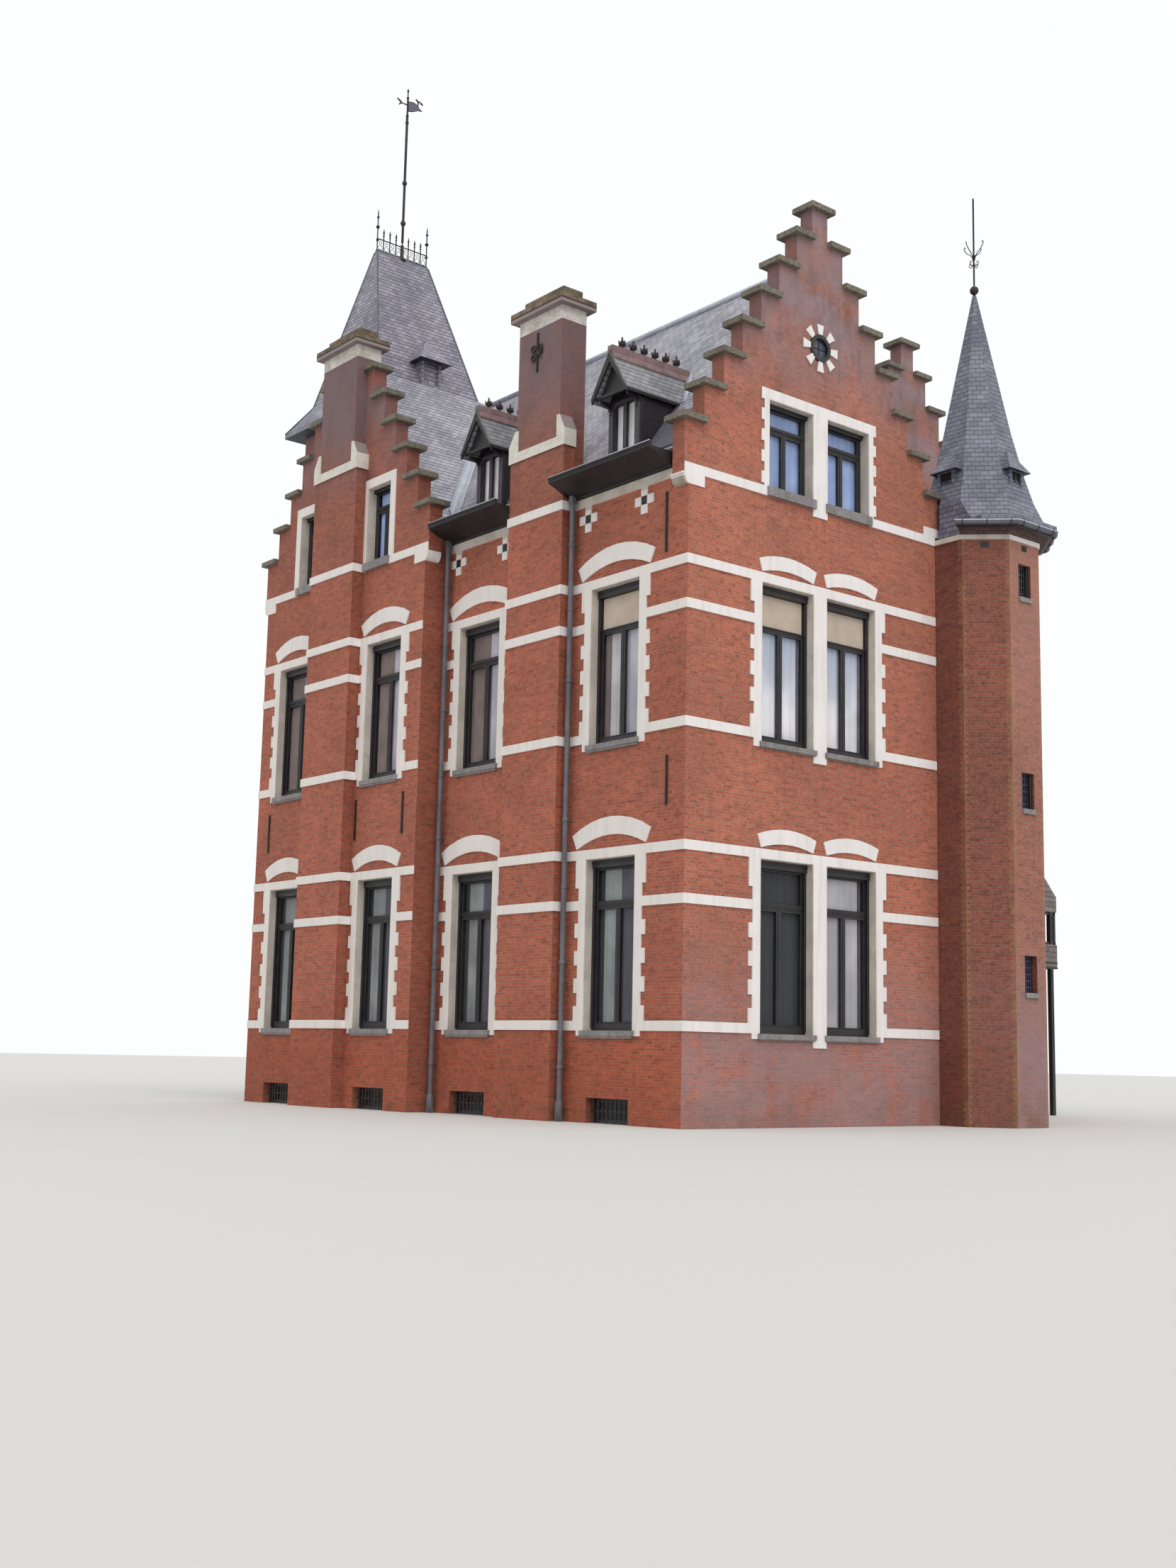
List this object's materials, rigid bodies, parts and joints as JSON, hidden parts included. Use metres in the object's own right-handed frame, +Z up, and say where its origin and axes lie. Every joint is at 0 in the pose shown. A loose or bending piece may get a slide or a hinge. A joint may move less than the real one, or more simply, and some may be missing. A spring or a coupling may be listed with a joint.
{
  "type": "town hall building",
  "caption": "Brick town hall with stepped gables, white stone bands, slate roofs, stair turret, dormers, chimneys and a ridge tower with a turning weather vane.",
  "frame": {"origin": "centre of the building's overall plan rectangle, on the ground", "axes": "+X runs along the front gable facade from the main street corner, +Y runs back along the long street side, +Z is up"},
  "size_m": [15.74, 15.43, 23.6],
  "materials": {
    "brick": "rough",
    "timber": "matt",
    "slate": "rough",
    "zinc": "dull",
    "white_stone": "matt",
    "blue_stone": "rough",
    "frame_paint": "satin",
    "glass": "polished",
    "fabric": "woven",
    "terracotta": "matt",
    "iron": "painted",
    "door_wood": "varnished"
  },
  "bodies": {
    "building": {"front_wall": "brick", "front_gable": "brick", "left_wall": "brick", "side_gable_wall": "brick", "side_gable": "brick", "rear_wall": "brick", "right_wall": "brick", "right_gable": "brick", "court_wall": "brick", "court_gable": "brick", "return_walls": "brick", "front_piers": "brick", "side_piers": "brick", "stair_turret": "brick", "tower_walls": "brick", "floors": "timber", "wing_roof": "slate", "cross_roof": "slate", "court_roof": "slate", "tower_roof": "slate", "turret_spire": "slate", "dormers": "timber", "left_chimney": "brick", "gable_chimney": "brick", "gutter_boxes": "timber", "downpipes": "zinc", "string_courses": "white_stone", "window_surrounds": "white_stone", "window_arches": "white_stone", "window_sills": "blue_stone", "window_frames": "frame_paint", "window_glass": "glass", "roller_blinds": "fabric", "gable_copings": "blue_stone", "stone_blocks": "white_stone", "wall_anchors": "iron", "ridge_crests": "terracotta", "roof_ironwork": "iron", "tower_mast": "iron", "entrance_door": "door_wood", "entrance_steps": "blue_stone", "annex_walls": "brick", "annex_roof": "slate", "oriel": "slate"},
    "vane": {"weather_vane": "iron"}
  },
  "joints": [
    {"name": "vane_turn", "type": "hinge", "parent": "building", "child": "vane", "pos_m": [-5.265, 5.65, 23.2], "axis": [0, 0, 1], "continuous": true}
  ]
}
